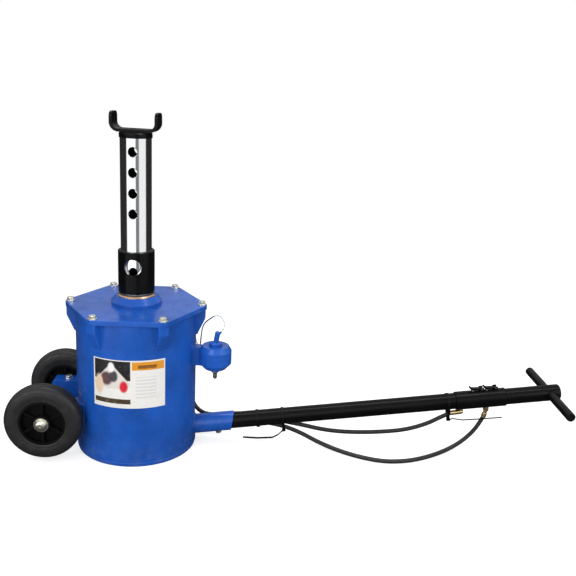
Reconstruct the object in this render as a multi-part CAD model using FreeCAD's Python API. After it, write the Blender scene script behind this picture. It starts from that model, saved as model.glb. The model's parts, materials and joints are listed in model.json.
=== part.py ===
"""Air lift jack: an upright air cylinder on two wheels, with a telescoping ram and a tow handle.

Millimetres, +Z up. The origin is the centre of the cylinder's base, on the surface it stands on.
+X runs from the cylinder towards the tow handle, -X towards the wheels, and the axle lies along Y.
"""
import FreeCAD, Part
import math
import os
from FreeCAD import Vector

os.makedirs("parts", exist_ok=True)

# ---------------------------------------------------------------- driving dimensions
UP = Vector(0, 0, 1)
ALONG_Y = Vector(0, 1, 0)
ALONG_X = Vector(1, 0, 0)
RUN_FIT = 0.05            # radial clearance of a running fit
GAP = 0.3                 # clearance between neighbours that move past each other
SCREW_GAP = 0.05          # radial clearance round screws

# air cylinder
DRUM_R = 170.0
DRUM_WALL = 5.0
BORE_R = DRUM_R - DRUM_WALL
BASE_T = 10.0
SHELL_TOP = 414.0
LID_BOTTOM = 416.0
LID_TOP = 429.0
LID_CORNER_R = 204.0
LID_CORNER_ROUND = 28.0
LID_HOLE_R = 56.0
BOLT_CIRCLE_R = 186.0
BOLT_COUNT = 6
BOLT_R = 6.0
BOLT_HEAD_FLATS = 18.0
BOLT_HEAD_T = 8.0
WASHER_R = 12.0
WASHER_T = 2.0
LUG_WIDTH = 30.0
LUG_OUTER_R = 196.0
LUG_FOOT_R = 175.0
LUG_STRAIGHT = 26.0
LUG_DROP = 72.0
BOLT_LENGTH = 50.0
CLAMP_BOLT_LENGTH = 53.0

# neck and ram
ROD_R = 47.5
ROD_BORE_R = 43.0
NECK_BOTTOM = 344.0
NECK_TOP = 454.0
NECK_BORE_R = 51.0
NECK_FLANGE_R = 71.0
NECK_RIM_TOP = 438.0
NECK_SHOULDER_R = 57.0
BUSH_FLANGE_R = 50.0
BUSH_TOP = 459.0
WIPER_TOP = 463.0
COLLAR_R = 50.7
COLLAR_BOTTOM = 465.0
COLLAR_TOP = 584.0
ROD_TOP = 580.0
WINDOW_R = 23.5
WINDOW_Z = 542.0
HOLE_TURN = -4.0          # degrees that the pin holes turn from -Y towards -X

# piston
BUMPER_R = 14.0
BUMPER_CIRCLE = 72.0
BUMPER_COUNT = 6
BUMPER_TOP = 46.0         # the piston rests above the lift port
RETAINER_TOP = 53.0
SEAL_TOP = 60.0
PISTON_TOP = 76.0
RETAINER_R = 140.0
SEAL_LIP = 5.0
PISTON_SCREW_R = 5.0
PISTON_SCREW_HEAD_R = 9.0
PISTON_R = 160.0
PISTON_SCREW_COUNT = 8
PISTON_SCREW_CIRCLE = 100.0

# extension
TUBE_R = 42.7
TUBE_BORE_R = 37.0
TUBE_BOTTOM = 400.0
TUBE_TOP = 893.0
PIN_HOLE_R = 12.6
PIN_HOLE_EDGE = 1.0
PIN_HOLE_HEIGHTS = (857.0, 802.0, 746.0, 690.0, 527.0)
CAP_R = 45.0
CAP_TOP = 907.0
CRADLE_GAP = 0.3
CRADLE_T = 8.0
CRADLE_HALF_WIDTH = 66.0
CRADLE_HALF_DEPTH = 25.0
CRADLE_TOP = 960.0
CRADLE_BEND_R = 25.0
CRADLE_TURN = -8.0        # degrees that it stands turned about the ram
CRADLE_WEB = 3.0          # plate left under its screw's head
CRADLE_SCREW_R = 8.0
CRADLE_SCREW_HEAD_R = 14.0

# wheels and axle
AXLE_X = -237.0
AXLE_Z = 120.0
AXLE_R = 10.0
AXLE_HALF = 172.0
WHEEL_Y = 137.0
WHEEL_HALF_WIDTH = 28.0
TYRE_R = 107.5
TYRE_BORE_R = 64.0
HUB_R = 24.0
SPOKE_COUNT = 6
SPOKE_T = 6.0
SPOKE_HALF_WIDTH = 17.0
BUSHING_R = 13.0
ARM_INNER_Y = 58.0
ARM_OUTER_Y = 105.4
ARM_BOTTOM = 88.0         # where it meets the cylinder
ARM_TOP = 156.0
ARM_END_X = -262.0
ARM_END_Z = 134.0         # lowest height of its blunt end
ARM_KNEE_X = -248.0       # its underside slopes up from the cylinder to here
ARM_KNEE_Z = 106.0
CLAMP_BOLT_X = -217.0

# tow handle: its own frame has x along the tube and z across it, and is tilted up
HANDLE_RISE = 7.04        # degrees
HANDLE_Z = 35.3           # where the tube's axis meets the cylinder's axis
HANDLE_R = 24.15
HANDLE_BORE_R = 21.15
SOCKET_R = 28.5
SOCKET_BORE_R = 24.45
SOCKET_END = 284.0
SOCKET_SCREW_S = 240.0
SOCKET_SCREW_R = 5.0
HANDLE_START = 188.0
VALVE_START = 955.0
VALVE_END = 1108.0
VALVE_R = 27.5
SPIGOT_R = 21.1
SPIGOT_LENGTH = 26.0
T_BAR_S = 1241.4
T_BAR_R = 13.0
T_BAR_HALF = 173.5
HANDLE_END = 1262.0

# thumb valve: stations along the handle of its two stems and three ports
LEVER_STATIONS = {"raise": 1010.0, "lower": 1052.0}
STEM_R = 4.5
STEM_BOTTOM = -2.0
SPRING_BOTTOM = -14.0
SPRING_TOP = -7.0         # pressed length, so that a stem never reaches it
SPRING_WALL = 1.2
LEVER_WIDTH = 13.0
LEVER_PIVOT_AFTER = 26.0  # from a stem to its lever's cross pin
LEVER_REACH = 34.0        # from the cross pin to the curled end
LEVER_TAIL = 3.0
LEVER_T = 4.0
LEVER_PIVOT_N = 34.0      # height of the cross pins above the handle's axis
PIVOT_R = 1.6
EAR_T = 2.7
EAR_HALF = 6.0
LIFT_PORT_S = 1050.0
RETURN_PORT_S = 974.0
INLET_S = 1030.0
LIFT_SCREW_R = 7.9
RETURN_SCREW_R = 5.4
INLET_SCREW_R = 6.9
NIPPLE_R = 5.9
NIPPLE_END = 52.0

# lock pin and its holder
HOLDER_X = 229.0
HOLDER_Y = -45.0
HOLDER_BOTTOM = 255.0
HOLDER_WAIST_LOW = 271.0
HOLDER_WAIST_HIGH = 309.0
HOLDER_TOP = 323.0
HOLDER_R = 46.0
HOLDER_TOP_R = 38.0
HOLDER_END_R = 31.0
HOLDER_ARM_HALF = 15.0
HOLDER_ARM_LOW = 262.0
HOLDER_ARM_HIGH = 316.0
HOLDER_WALL = 4.0
SLEEVE_R = 18.0
SLEEVE_TOP = 326.0
PIN_R = 12.0
PIN_BOTTOM = 240.0
PIN_NOSE_BOTTOM = 222.0
PIN_NOSE_R = 6.0
PIN_FINGER_R = 7.5
PIN_FINGER_LENGTH = 37.0
PIN_FINGER_LEAN = 9.0     # degrees from upright, towards +X

# hose ports on the cylinder: degrees round it from +X, and height
LIFT_PORT_TURN = 15.0
LIFT_PORT_Z = 30.0
RETURN_PORT_TURN = 46.0
RETURN_PORT_Z = 382.0
PORT_R = 7.0

# label on the cylinder: a curved sheet
LABEL_T = 0.6
LABEL_LOW = 178.0
LABEL_HIGH = 317.0
LABEL_FROM = -124.0
LABEL_TO = -55.4

# hoses and the pin's tether
HOSE_R = 6.35
TETHER_R = 2.0
TIE_THICKNESS = 1.8
TIE_WIDTH = 7.6

# Route points, chosen by hand. Each hose runs from the valve to a port on the cylinder.
LIFT_HOSE_ROUTE = (
    (1041.0, 0.0, 104.0), (1029.0, -2.0, 79.0), (1011.0, -5.0, 53.0), (986.0, -11.0, 30.5),
    (953.0, -24.0, 13.5), (908.0, -52.0, 6.8), (853.0, -86.0, 6.6), (792.0, -111.0, 6.6),
    (722.0, -116.0, 6.6), (650.0, -88.0, 6.6), (588.0, -47.0, 6.8), (536.0, -14.0, 15.0), (490.0, -4.0, 36.0),
    (440.0, -1.0, 55.0), (388.0, 18.0, 56.5), (330.0, 38.0, 53.5), (276.0, 47.0, 47.0),
    (232.0, 52.5, 40.0), (206.0, 54.5, 36.0),
)
RETURN_HOSE_ROUTE = (
    (938.0, 0.0, 112.4), (914.0, 0.5, 100.0), (872.0, 4.0, 73.0), (812.0, 8.0, 50.0),
    (745.0, 10.0, 40.0), (675.0, 10.0, 36.0), (605.0, 9.0, 37.0), (545.0, 10.0, 44.0),
    (492.0, 13.0, 55.0), (436.0, 18.5, 61.5), (385.0, 31.0, 71.5), (330.0, 38.5, 76.0),
    (276.0, 43.0, 71.5), (242.0, 48.0, 65.5), (213.0, 57.0, 60.0), (187.0, 72.5, 59.0),
    (165.5, 92.5, 68.5), (150.0, 111.0, 91.0), (140.0, 124.0, 121.0), (134.5, 131.0, 157.0),
    (131.0, 134.2, 199.0), (128.4, 134.4, 248.0), (127.8, 133.2, 303.0), (128.5, 133.0, 358.0),
)
# The tether hangs in a slack loop behind the holder, so that the pin can reach the collar.
TETHER_ROUTE = (
    (156.0, 90.0, 362.0), (156.5, 90.0, 336.0), (159.0, 87.0, 311.0), (165.0, 78.0, 291.0),
    (172.0, 64.0, 281.0), (178.0, 49.0, 284.0), (181.0, 38.0, 299.0), (182.5, 31.0, 320.0),
    (185.0, 26.5, 343.0), (190.0, 22.5, 362.0), (200.0, 13.0, 376.0), (211.0, 0.0, 388.0),
    (222.0, -10.0, 399.5), (236.0, -17.0, 403.5), (248.0, -25.0, 396.0), (253.5, -34.0, 383.0),
    (250.0, -42.0, 371.0), (243.6, -45.0, 363.5),
)
TETHER_EYE_R = 4.5
FERRULE_R = 3.2
# The ties' cut tails, in the plane of the handle.
NEAR_TAIL = (
    (436.0, -6.0, 46.0), (421.0, -6.0, 29.0), (404.0, -6.0, 19.5), (360.0, -6.0, 16.5), (316.0, -6.0, 18.0),
)
FAR_TAIL = (
    (927.0, -9.8, 93.5), (945.0, -9.8, 98.5), (977.0, -9.8, 95.0), (1030.0, -9.8, 100.0),
    (1095.0, -9.8, 107.0),
)


# ---------------------------------------------------------------- helpers
def cylinder(radius, start, length, direction=UP):
    return Part.makeCylinder(radius, length, start, direction)


def disc(radius, low, high, x=0.0, y=0.0):
    return cylinder(radius, Vector(x, y, low), high - low)


def ring(outer, inner, low, high, x=0.0, y=0.0):
    return disc(outer, low, high, x, y).cut(disc(inner, low - 1, high + 1, x, y))


def block(low, high):
    size = Vector(*high).sub(Vector(*low))
    return Part.makeBox(size.x, size.y, size.z, Vector(*low))


def prism(outline, depth):
    """A closed outline of points, pushed along the vector depth."""
    points = [Vector(*p) for p in outline]
    return Part.Face(Part.makePolygon(points + points[:1])).extrude(depth)


def turned(profile, x=0.0, y=0.0):
    """A profile of (radius, height) corners, turned about an upright axis."""
    points = [Vector(x + r, y, z) for r, z in profile]
    face = Part.Face(Part.makePolygon(points + points[:1]))
    return face.revolve(Vector(x, y, 0), UP, 360)


def turned_along_y(profile, x, z):
    """A profile of (radius, y) corners, turned about an axis that lies along Y."""
    points = [Vector(x + r, y, z) for r, y in profile]
    face = Part.Face(Part.makePolygon(points + points[:1]))
    return face.revolve(Vector(x, 0, z), ALONG_Y, 360)


def regular_prism(flats, sides, low, high, x=0.0, y=0.0, turn=0.0):
    """An upright prism of the given width across its flats."""
    corner = flats / 2 / math.cos(math.pi / sides)
    outline = []
    for i in range(sides):
        angle = math.radians(turn) + (i + 0.5) * 2 * math.pi / sides
        outline.append((x + corner * math.cos(angle), y + corner * math.sin(angle), low))
    return prism(outline, Vector(0, 0, high - low))


def turned_about_z(shape, degrees):
    copy = shape.copy()
    copy.rotate(Vector(0, 0, 0), UP, degrees)
    return copy


def around(shape, count):
    """The shape repeated evenly round the upright axis, starting where it is."""
    return [turned_about_z(shape, i * 360.0 / count) for i in range(count)]


def on_handle(shape):
    """Moves a shape from the handle's own frame to its place on the jack."""
    copy = shape.copy()
    copy.rotate(Vector(0, 0, 0), ALONG_Y, -HANDLE_RISE)
    copy.translate(Vector(0, 0, HANDLE_Z))
    return copy


def rod_along_handle(radius, start, end):
    return cylinder(radius, Vector(start, 0, 0), end - start, ALONG_X)


def cut_all(shape, cutters):
    for cutter in cutters:
        shape = shape.cut(cutter)
    return shape


def save(name, *solids):
    shape = solids[0] if len(solids) == 1 else Part.makeCompound(list(solids))
    if not shape.isValid():
        raise RuntimeError(name + " is not a valid shape")
    shape.exportStep("parts/" + name + ".step")


def swept_route(name, route, radius):
    """A tube along straight runs joined by tangent arcs, each as large as its two runs allow."""
    points = [Vector(*p) for p in route]
    edges = []
    last = points[0]
    radii = []
    for before, corner, after in zip(points, points[1:], points[2:]):
        into = corner.sub(before)
        out = after.sub(corner)
        turn = into.getAngle(out)
        back = 0.45 * min(into.Length, out.Length)
        radii.append(back / math.tan(turn / 2))
        into.normalize()
        out.normalize()
        start = corner.sub(into * back)
        end = corner.add(out * back)
        inward = out.sub(into).normalize()
        sagitta = radii[-1] * (1 / math.cos(turn / 2) - 1)
        edges.append(Part.makeLine(last, start))
        edges.append(Part.Arc(start, corner.add(inward * sagitta), end).toShape())
        last = end
    edges.append(Part.makeLine(last, points[-1]))
    print(name, "radii", " ".join("%.0f" % r for r in radii))
    path = Part.Wire(edges)
    section = Part.Wire(Part.makeCircle(radius, points[0], points[1].sub(points[0])))
    tube = path.makePipeShell([section], True, False)
    ideal = math.pi * radius * radius * path.Length
    print("%s: length %.1f, smallest radius %.1f, volume ratio %.4f"
          % (name, path.Length, min(radii), tube.Volume / ideal))
    return tube


# ---------------------------------------------------------------- air cylinder
def pin_hole_axis(radius, height, reach):
    """A cutter through one side, pointing the way the pin holes face."""
    angle = math.radians(HOLE_TURN)
    direction = Vector(math.sin(angle), -math.cos(angle), 0)
    return cylinder(radius, Vector(0, 0, height), reach, direction)


def port_cutter(end, radius):
    """A hole through the cylinder wall, level and in line with a fitting's centre."""
    flat = Vector(end[0], end[1], 0).normalize()
    return cylinder(radius, flat * (BORE_R - 10) + Vector(0, 0, end[2]), 40, flat)


def on_drum(degrees, height, radius=DRUM_R):
    """A point on the cylinder's wall, counted from +X towards +Y."""
    angle = math.radians(degrees)
    return (radius * math.cos(angle), radius * math.sin(angle), height)


def make_cylinder():
    shell = ring(DRUM_R, BORE_R, BASE_T, SHELL_TOP)
    shell = cut_all(shell, [
        port_cutter(on_drum(LIFT_PORT_TURN, LIFT_PORT_Z), PORT_R),
        port_cutter(on_drum(RETURN_PORT_TURN, RETURN_PORT_Z), PORT_R),
    ])
    save("drum_shell", shell)
    base = disc(DRUM_R, 0, BASE_T)
    base = base.makeChamfer(2.0, [e for e in base.Edges if e.BoundBox.ZMax < 0.1])
    save("base_plate", base)
    save("lid_gasket", ring(DRUM_R, BORE_R + 0.5, SHELL_TOP, LID_BOTTOM))


def make_lugs():
    top = LID_BOTTOM
    outline = [
        (DRUM_R - 2, 0, top), (LUG_OUTER_R, 0, top), (LUG_OUTER_R, 0, top - LUG_STRAIGHT),
        (LUG_FOOT_R, 0, top - LUG_DROP), (DRUM_R - 2, 0, top - LUG_DROP),
    ]
    lug = prism(outline, Vector(0, LUG_WIDTH, 0))
    lug.translate(Vector(0, -LUG_WIDTH / 2, 0))
    lug = lug.makeFillet(4.0, [e for e in lug.Edges if e.BoundBox.XMin > LUG_FOOT_R - 1
                               and e.BoundBox.YLength < 0.1 and e.BoundBox.ZLength > 1])
    lug = lug.cut(disc(DRUM_R, 0, LID_TOP))
    bolt_end = LID_TOP + WASHER_T - BOLT_LENGTH
    lug = lug.cut(disc(BOLT_R + SCREW_GAP, bolt_end - 1, LID_TOP, BOLT_CIRCLE_R))
    save("lid_lugs", *around(lug, BOLT_COUNT))


def make_lid():
    flats = 2 * LID_CORNER_R * math.cos(math.pi / BOLT_COUNT)
    lid = regular_prism(flats, BOLT_COUNT, LID_BOTTOM, LID_TOP, turn=30.0)
    lid = lid.makeFillet(LID_CORNER_ROUND, [e for e in lid.Edges if e.BoundBox.ZLength > 1])
    lid = lid.makeChamfer(1.5, [e for e in lid.Edges if e.BoundBox.ZMin > LID_TOP - 0.1])
    lid = lid.cut(disc(LID_HOLE_R, 0, LID_TOP + 1))
    holes = around(disc(BOLT_R + SCREW_GAP, LID_BOTTOM - 1, LID_TOP + 1, BOLT_CIRCLE_R), BOLT_COUNT)
    save("lid_plate", cut_all(lid, holes))
    washer = ring(WASHER_R, BOLT_R + SCREW_GAP, LID_TOP, LID_TOP + WASHER_T, BOLT_CIRCLE_R)
    bolt = hex_bolt(LID_TOP + WASHER_T, BOLT_LENGTH, BOLT_CIRCLE_R, 0.0, 0.0)
    return around(bolt, BOLT_COUNT), around(washer, BOLT_COUNT)


def hex_bolt(head_low, length, x, y, turn):
    """A hexagon bolt with a chamfered head, its shank running down."""
    corner = BOLT_HEAD_FLATS / 2 + 2
    head_high = head_low + BOLT_HEAD_T
    head = regular_prism(BOLT_HEAD_FLATS, 6, head_low, head_high, x, y, turn)
    head = head.common(turned([
        (0, head_low), (corner, head_low), (corner, head_high - 1.2), (BOLT_HEAD_FLATS / 2 - 0.4, head_high),
        (0, head_high),
    ], x, y))
    return head.fuse(disc(BOLT_R, head_low - length, head_low + 1, x, y)).removeSplitter()


def make_neck():
    gland = turned([
        (NECK_BORE_R, NECK_BOTTOM), (LID_HOLE_R - 0.1, NECK_BOTTOM), (LID_HOLE_R - 0.1, LID_TOP),
        (NECK_FLANGE_R, LID_TOP), (NECK_FLANGE_R, NECK_RIM_TOP), (NECK_SHOULDER_R, NECK_TOP),
        (NECK_BORE_R, NECK_TOP),
    ])
    save("neck_gland", gland)
    bush = turned([
        (ROD_R + RUN_FIT, NECK_BOTTOM), (NECK_BORE_R, NECK_BOTTOM), (NECK_BORE_R, NECK_TOP),
        (BUSH_FLANGE_R + 3, NECK_TOP), (BUSH_FLANGE_R + 3, NECK_TOP + 1.5), (BUSH_FLANGE_R, BUSH_TOP),
        (ROD_R + RUN_FIT, BUSH_TOP),
    ])
    save("rod_bushing", bush)
    save("rod_wiper", turned([
        (ROD_R + GAP, BUSH_TOP), (BUSH_FLANGE_R - 0.5, BUSH_TOP), (ROD_R + 1, WIPER_TOP),
        (ROD_R + GAP, WIPER_TOP),
    ]))


# ---------------------------------------------------------------- ram
def make_ram():
    rod = ring(ROD_R, ROD_BORE_R, PISTON_TOP, ROD_TOP)
    rod = rod.cut(pin_hole_axis(WINDOW_R, WINDOW_Z, COLLAR_R + 20))
    save("piston_rod", rod.cut(back_window()))
    collar = turned([
        (ROD_R, COLLAR_BOTTOM), (COLLAR_R - 1, COLLAR_BOTTOM), (COLLAR_R, COLLAR_BOTTOM + 1),
        (COLLAR_R, COLLAR_TOP - 2), (COLLAR_R - 2, COLLAR_TOP), (TUBE_R + RUN_FIT, COLLAR_TOP),
        (TUBE_R + RUN_FIT, ROD_TOP), (ROD_R, ROD_TOP),
    ])
    collar = collar.cut(pin_hole_axis(WINDOW_R, WINDOW_Z, COLLAR_R + 20))
    save("pin_collar", collar.cut(back_window()))


def back_window():
    """The smaller hole at the back of the collar, for the pin's far end."""
    angle = math.radians(HOLE_TURN)
    direction = Vector(-math.sin(angle), math.cos(angle), 0)
    return cylinder(PIN_HOLE_R, Vector(0, 0, WINDOW_Z), COLLAR_R + 20, direction)


def make_piston():
    screw_top = PISTON_TOP - 2
    screw = disc(PISTON_SCREW_R, RETAINER_TOP - 4, screw_top, PISTON_SCREW_CIRCLE)
    screw = screw.fuse(disc(PISTON_SCREW_HEAD_R, RETAINER_TOP - 5, RETAINER_TOP, PISTON_SCREW_CIRCLE))
    save("piston_screws", *around(screw.removeSplitter(), PISTON_SCREW_COUNT))
    holes = around(disc(PISTON_SCREW_R + SCREW_GAP, 0, screw_top, PISTON_SCREW_CIRCLE), PISTON_SCREW_COUNT)
    sink = disc(PISTON_SCREW_HEAD_R + SCREW_GAP, 0, RETAINER_TOP, PISTON_SCREW_CIRCLE)
    save("piston_plate", cut_all(disc(PISTON_R, SEAL_TOP, PISTON_TOP), holes))
    save("seal_retainer", cut_all(disc(RETAINER_R, BUMPER_TOP, RETAINER_TOP),
                                    around(sink, PISTON_SCREW_COUNT)))
    lip = BORE_R - RUN_FIT
    lip_low = RETAINER_TOP - SEAL_LIP
    seal = turned([
        (0, RETAINER_TOP), (lip - 9, RETAINER_TOP), (lip - 4, lip_low), (lip, lip_low), (lip, SEAL_TOP),
        (0, SEAL_TOP),
    ])
    save("piston_cup_seal", cut_all(seal, holes))
    save("piston_wear_ring", ring(lip, PISTON_R, SEAL_TOP + 3, PISTON_TOP - 3))
    save("base_bumpers", *around(disc(BUMPER_R, BASE_T, BUMPER_TOP, BUMPER_CIRCLE), BUMPER_COUNT))


# ---------------------------------------------------------------- extension and saddle
def make_extension():
    tube = turned([
        (TUBE_BORE_R, TUBE_BOTTOM), (TUBE_R - 2, TUBE_BOTTOM), (TUBE_R - 2, TUBE_BOTTOM + 24),
        (TUBE_R, TUBE_BOTTOM + 24), (TUBE_R, TUBE_TOP), (TUBE_BORE_R, TUBE_TOP),
    ])
    angle = math.radians(HOLE_TURN)
    out = Vector(math.sin(angle), -math.cos(angle), 0)
    for height in PIN_HOLE_HEIGHTS:
        middle = Vector(0, 0, height)
        tube = tube.cut(cylinder(PIN_HOLE_R, middle - out * (TUBE_R + 5), 2 * TUBE_R + 10, out))
        sink = Part.makeCone(PIN_HOLE_R, PIN_HOLE_R + 3 * PIN_HOLE_EDGE, 3 * PIN_HOLE_EDGE,
                             middle + out * (TUBE_R - 2 * PIN_HOLE_EDGE), out)
        tube = tube.cut(sink)
    save("extension_tube", tube)
    save("extension_guide_ring", ring(ROD_BORE_R - RUN_FIT, TUBE_R - 2, TUBE_BOTTOM + 1, TUBE_BOTTOM + 23))


def make_saddle():
    low = CAP_TOP + CRADLE_GAP
    floor = low + CRADLE_T
    head_low = low + CRADLE_WEB
    screw_low = TUBE_TOP - 10
    cap = turned([
        (0, TUBE_TOP - 14), (TUBE_BORE_R - 0.05, TUBE_TOP - 14), (TUBE_BORE_R - 0.05, TUBE_TOP),
        (CAP_R, TUBE_TOP), (CAP_R, CAP_TOP - 3), (CAP_R - 3, CAP_TOP), (0, CAP_TOP),
    ])
    save("saddle_cap", cap.cut(disc(CRADLE_SCREW_R, screw_low - 1, CAP_TOP + 1)))
    cradle = make_cradle(low, floor)
    cradle = cradle.cut(disc(CRADLE_SCREW_R + RUN_FIT, low - 1, head_low + 1))
    cradle = cradle.cut(disc(CRADLE_SCREW_HEAD_R + GAP, head_low, floor + 1))
    save("saddle_cradle", turned_about_z(cradle, CRADLE_TURN))
    shank = disc(CRADLE_SCREW_R, screw_low, head_low + GAP)
    screw = shank.fuse(disc(CRADLE_SCREW_HEAD_R, head_low + GAP, floor - 0.5)).removeSplitter()
    save("saddle_bolt", screw.cut(regular_prism(8.0, 6, head_low + 1.5, floor)))


def make_cradle(low, floor):
    """A plate bent up at both ends, with rounded tips."""
    half = CRADLE_HALF_WIDTH
    depth = CRADLE_HALF_DEPTH
    outer = block((-half, -depth, low), (half, depth, CRADLE_TOP))
    outer = outer.makeFillet(CRADLE_BEND_R, [e for e in outer.Edges
                                             if e.BoundBox.ZMax < low + 0.1 and e.BoundBox.YLength > 1])
    inside = half - CRADLE_T
    inner = block((-inside, -depth - 1, floor), (inside, depth + 1, CRADLE_TOP + 40))
    inner = inner.makeFillet(CRADLE_BEND_R - CRADLE_T, [
        e for e in inner.Edges if e.BoundBox.ZMax < floor + 0.1 and e.BoundBox.YLength > 1])
    cradle = outer.cut(inner)
    return cradle.makeFillet(14.0, [e for e in cradle.Edges if e.BoundBox.ZMin > CRADLE_TOP - 0.1
                                    and e.BoundBox.XLength > 1 and e.BoundBox.YLength < 0.1])


# ---------------------------------------------------------------- wheels
def make_tyre(y):
    shoulder = 9.0
    half = WHEEL_HALF_WIDTH
    tyre = turned_along_y([
        (TYRE_BORE_R, y - half + 4), (TYRE_BORE_R + 8, y - half), (TYRE_R - shoulder, y - half),
        (TYRE_R, y - half + shoulder), (TYRE_R, y + half - shoulder), (TYRE_R - shoulder, y + half),
        (TYRE_BORE_R + 8, y + half), (TYRE_BORE_R, y + half - 4),
    ], AXLE_X, AXLE_Z)
    return tyre


def make_wheel_hub(y):
    half = WHEEL_HALF_WIDTH
    rim = turned_along_y([
        (TYRE_BORE_R - 6, y - half + 4), (TYRE_BORE_R, y - half + 4), (TYRE_BORE_R, y + half - 4),
        (TYRE_BORE_R - 6, y + half - 4),
    ], AXLE_X, AXLE_Z)
    web = turned_along_y([
        (BUSHING_R, y - half), (HUB_R, y - half), (HUB_R, y - 5), (TYRE_BORE_R - 5, y - 5),
        (TYRE_BORE_R - 5, y + 5), (HUB_R, y + 5), (HUB_R, y + half), (BUSHING_R, y + half),
    ], AXLE_X, AXLE_Z)
    hub = rim.fuse(web)
    for i in range(SPOKE_COUNT):
        low = (AXLE_X + HUB_R - 3, y - SPOKE_HALF_WIDTH, AXLE_Z - SPOKE_T / 2)
        high = (AXLE_X + TYRE_BORE_R - 4, y + SPOKE_HALF_WIDTH, AXLE_Z + SPOKE_T / 2)
        spoke = block(low, high)
        spoke.rotate(Vector(AXLE_X, 0, AXLE_Z), ALONG_Y, i * 360.0 / SPOKE_COUNT + 30)
        hub = hub.fuse(spoke)
    return hub.removeSplitter()


def make_wheels():
    half = WHEEL_HALF_WIDTH
    for side, y in (("near", -WHEEL_Y), ("far", WHEEL_Y)):
        save("tyre_" + side, make_tyre(y))
        save("wheel_hub_" + side, make_wheel_hub(y))
        bore = AXLE_R + RUN_FIT
        bush = turned_along_y([
            (bore, y - half), (BUSHING_R, y - half), (BUSHING_R, y + half), (bore, y + half),
        ], AXLE_X, AXLE_Z)
        save("wheel_bush_" + side, bush)
    save("axle_shaft", cylinder(AXLE_R, Vector(AXLE_X, -AXLE_HALF, AXLE_Z), 2 * AXLE_HALF, ALONG_Y))
    washers = []
    caps = []
    for side in (-1, 1):
        for y in (WHEEL_Y - half - 3.3, WHEEL_Y + half + 0.3):
            low, high = sorted((side * y, side * (y + 3.0)))
            washers.append(turned_along_y([
                (AXLE_R, low), (BUSHING_R + 7, low), (BUSHING_R + 7, high), (AXLE_R, high)], AXLE_X, AXLE_Z))
        start = WHEEL_Y + half + 3.4
        profile = [(AXLE_R, start), (15.0, start), (16.0, start + 1), (16.0, start + 5), (13.5, start + 9),
                   (8.0, start + 11.5), (0, start + 12), (0, AXLE_HALF), (AXLE_R, AXLE_HALF)]
        caps.append(turned_along_y([(r, side * y) for r, y in profile], AXLE_X, AXLE_Z))
    save("axle_washers", *washers)
    save("axle_caps", *caps)


def make_axle_arms():
    arms = []
    bolts = []
    washers = []
    for side in (-1, 1):
        low, high = sorted((side * ARM_INNER_Y, side * ARM_OUTER_Y))
        arm = prism([
            (ARM_END_X, low, ARM_TOP), (ARM_END_X, low, ARM_END_Z), (ARM_KNEE_X, low, ARM_KNEE_Z),
            (-DRUM_R, low, ARM_BOTTOM), (-100, low, ARM_BOTTOM), (-100, low, ARM_TOP),
        ], Vector(0, high - low, 0))
        arm = arm.makeFillet(8.0, [e for e in arm.Edges if e.BoundBox.XMax < ARM_KNEE_X + 0.1
                                   and e.BoundBox.XLength < 0.1 and e.BoundBox.YLength > 1])
        middle = (low + high) / 2
        arm = cut_all(arm, [
            disc(DRUM_R, 0, SHELL_TOP),
            cylinder(AXLE_R, Vector(AXLE_X, low - 1, AXLE_Z), high - low + 2, ALONG_Y),
            disc(BOLT_R + SCREW_GAP, ARM_TOP - CLAMP_BOLT_LENGTH, ARM_TOP + 1, CLAMP_BOLT_X, middle),
        ])
        arms.append(arm)
        top = ARM_TOP + WASHER_T
        bolts.append(hex_bolt(top, CLAMP_BOLT_LENGTH, CLAMP_BOLT_X, middle, 10.0))
        washers.append(ring(WASHER_R, BOLT_R + SCREW_GAP, ARM_TOP, top, CLAMP_BOLT_X, middle))
    save("axle_arms", *arms)
    return bolts, washers


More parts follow.
